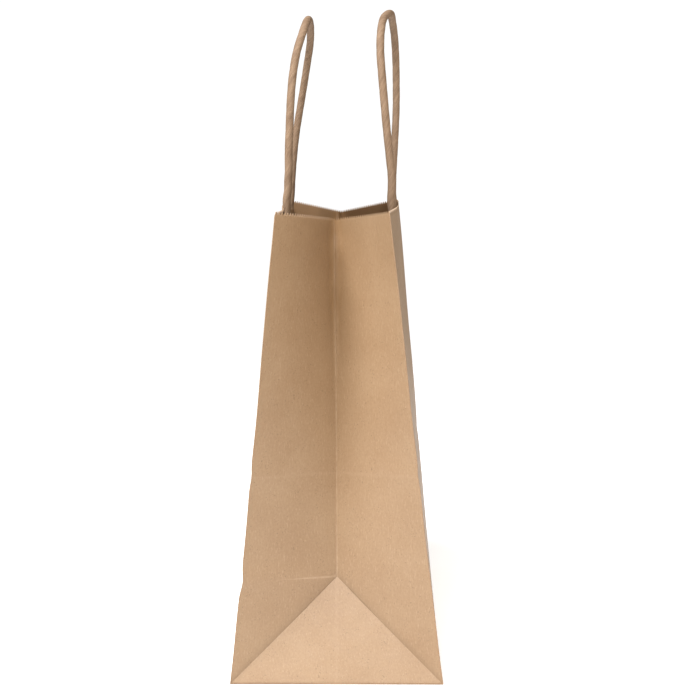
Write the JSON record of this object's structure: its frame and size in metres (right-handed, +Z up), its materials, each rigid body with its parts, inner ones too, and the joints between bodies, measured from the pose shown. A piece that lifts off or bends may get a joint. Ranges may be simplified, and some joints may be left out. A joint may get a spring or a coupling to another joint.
{
  "type": "gift bag",
  "caption": "Plain kraft paper gift bag with folded side gussets, a flat block base, a serrated mouth and twisted paper cord loop handles glued inside under paper patches.",
  "frame": {"origin": "centre of the base on the surface the bag stands on", "axes": "+X along the wide panels to the right gusset, +Y to the back wide panel, +Z up to the mouth"},
  "size_m": [0.203, 0.121, 0.3821],
  "materials": {
    "kraft_paper": "uncoated brown kraft paper, matt, with fine fibres and flecks",
    "patch_paper": "two plies of brown kraft paper glued over the cord ends",
    "paper_cord": "twisted brown paper cord, matt, with a diagonal lay"
  },
  "bodies": {
    "base": {"base_front_flap": "kraft_paper", "base_back_flap": "kraft_paper", "base_right_tuck": "kraft_paper", "base_left_tuck": "kraft_paper"},
    "front": {"front_panel": "kraft_paper", "front_patch_backing": "patch_paper", "front_patch_cover": "patch_paper", "front_cord_ends": "paper_cord"},
    "back": {"back_panel": "kraft_paper", "seam_flap": "kraft_paper", "back_patch_backing": "patch_paper", "back_patch_cover": "patch_paper", "back_cord_ends": "paper_cord"},
    "right_front_gusset": {"right_gusset_front": "kraft_paper"},
    "right_front_wing": {"right_wing_front": "kraft_paper"},
    "right_back_gusset": {"right_gusset_back": "kraft_paper"},
    "right_back_wing": {"right_wing_back": "kraft_paper"},
    "right_foot": {"right_triangle": "kraft_paper"},
    "left_front_gusset": {"left_gusset_front": "kraft_paper"},
    "left_front_wing": {"left_wing_front": "kraft_paper"},
    "left_back_gusset": {"left_gusset_back": "kraft_paper"},
    "left_back_wing": {"left_wing_back": "kraft_paper"},
    "left_foot": {"left_triangle": "kraft_paper"},
    "front_loop": {"front_handle": "paper_cord"},
    "back_loop": {"back_handle": "paper_cord"}
  },
  "joints": [
    {"name": "mouth_front", "type": "hinge", "parent": "base", "child": "front", "pos_m": [0, -0.0605, 0], "axis": [-1, 0, 0], "range_deg": [-2, 2.8]},
    {"name": "mouth_back", "type": "hinge", "parent": "base", "child": "back", "pos_m": [0, 0.0605, 0], "axis": [1, 0, 0], "range_deg": [-2.1, 2.9]},
    {"name": "right_front_gusset_fold", "type": "hinge", "parent": "front", "child": "right_front_gusset", "pos_m": [0.1015, -0.0605, 0], "axis": [0, 0.0993, 0.9951], "range_deg": [-10.8, 15]},
    {"name": "right_front_wing_fold", "type": "hinge", "parent": "front", "child": "right_front_wing", "pos_m": [0.1015, -0.0605, 0], "axis": [0, 0.0993, 0.9951], "range_deg": [-4.5, 6.2]},
    {"name": "right_back_gusset_fold", "type": "hinge", "parent": "back", "child": "right_back_gusset", "pos_m": [0.1015, 0.0605, 0], "axis": [0, 0.0993, -0.9951], "range_deg": [-10.8, 15]},
    {"name": "right_back_wing_fold", "type": "hinge", "parent": "back", "child": "right_back_wing", "pos_m": [0.1015, 0.0605, 0], "axis": [0, 0.0993, -0.9951], "range_deg": [-4.5, 6.2]},
    {"name": "right_foot_fold", "type": "hinge", "parent": "base", "child": "right_foot", "pos_m": [0.1015, 0, 0], "axis": [0, -1, 0], "range_deg": [-4.5, 6.2]},
    {"name": "left_front_gusset_fold", "type": "hinge", "parent": "front", "child": "left_front_gusset", "pos_m": [-0.1015, -0.0605, 0], "axis": [0, -0.0993, -0.9951], "range_deg": [-10.8, 15]},
    {"name": "left_front_wing_fold", "type": "hinge", "parent": "front", "child": "left_front_wing", "pos_m": [-0.1015, -0.0605, 0], "axis": [0, -0.0993, -0.9951], "range_deg": [-4.5, 6.2]},
    {"name": "left_back_gusset_fold", "type": "hinge", "parent": "back", "child": "left_back_gusset", "pos_m": [-0.1015, 0.0605, 0], "axis": [0, -0.0993, 0.9951], "range_deg": [-10.8, 15]},
    {"name": "left_back_wing_fold", "type": "hinge", "parent": "back", "child": "left_back_wing", "pos_m": [-0.1015, 0.0605, 0], "axis": [0, -0.0993, 0.9951], "range_deg": [-4.5, 6.2]},
    {"name": "left_foot_fold", "type": "hinge", "parent": "base", "child": "left_foot", "pos_m": [-0.1015, 0, 0], "axis": [0, 1, 0], "range_deg": [-4.5, 6.2]},
    {"name": "front_handle_swing", "type": "hinge", "parent": "front", "child": "front_loop", "pos_m": [0, -0.03075, 0.27056], "axis": [-1, 0, 0], "range_deg": [-110, 0]},
    {"name": "back_handle_swing", "type": "hinge", "parent": "back", "child": "back_loop", "pos_m": [0, 0.03075, 0.27056], "axis": [1, 0, 0], "range_deg": [-110, 0]}
  ],
  "couplings": [
    {"joint": "mouth_back", "follows": "mouth_front", "ratio": 1},
    {"joint": "right_front_gusset_fold", "follows": "mouth_front", "ratio": 5.28},
    {"joint": "right_front_wing_fold", "follows": "mouth_front", "ratio": 2.14},
    {"joint": "right_back_gusset_fold", "follows": "mouth_front", "ratio": 5.28},
    {"joint": "right_back_wing_fold", "follows": "mouth_front", "ratio": 2.14},
    {"joint": "right_foot_fold", "follows": "mouth_front", "ratio": 2.14},
    {"joint": "left_front_gusset_fold", "follows": "mouth_front", "ratio": 5.28},
    {"joint": "left_front_wing_fold", "follows": "mouth_front", "ratio": 2.14},
    {"joint": "left_back_gusset_fold", "follows": "mouth_front", "ratio": 5.28},
    {"joint": "left_back_wing_fold", "follows": "mouth_front", "ratio": 2.14},
    {"joint": "left_foot_fold", "follows": "mouth_front", "ratio": 2.14}
  ]
}
